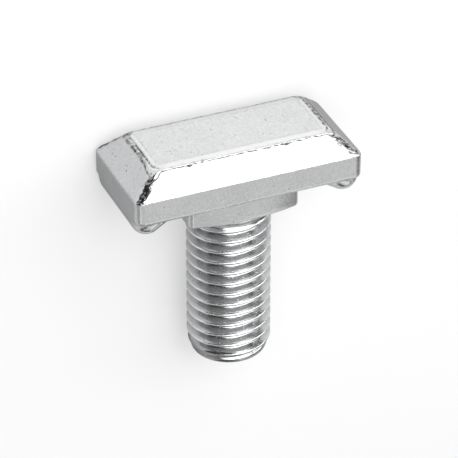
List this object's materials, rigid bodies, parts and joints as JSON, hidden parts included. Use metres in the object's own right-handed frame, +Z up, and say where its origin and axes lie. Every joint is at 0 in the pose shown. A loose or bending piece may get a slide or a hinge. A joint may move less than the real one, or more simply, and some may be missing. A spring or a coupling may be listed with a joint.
{
  "type": "t slot bolt",
  "caption": "hammer-head bolt for channel and T-slot rail: lipped rectangular head with sloped sides, slot collar and threaded shank",
  "frame": {"origin": "on the floor, under the middle of the part's bounding box, with the bolt lying on its side as it comes to rest", "axes": "X along the length of the head; +Y towards the head's top, with the shank pointing to -Y and 4.6 degrees down; +Z up"},
  "size_m": [0.0338, 0.0362, 0.0166],
  "materials": {
    "zinc": "bright zinc plating over forged and rolled steel"
  },
  "bodies": {
    "root": {"t_bolt": "zinc"}
  },
  "joints": []
}
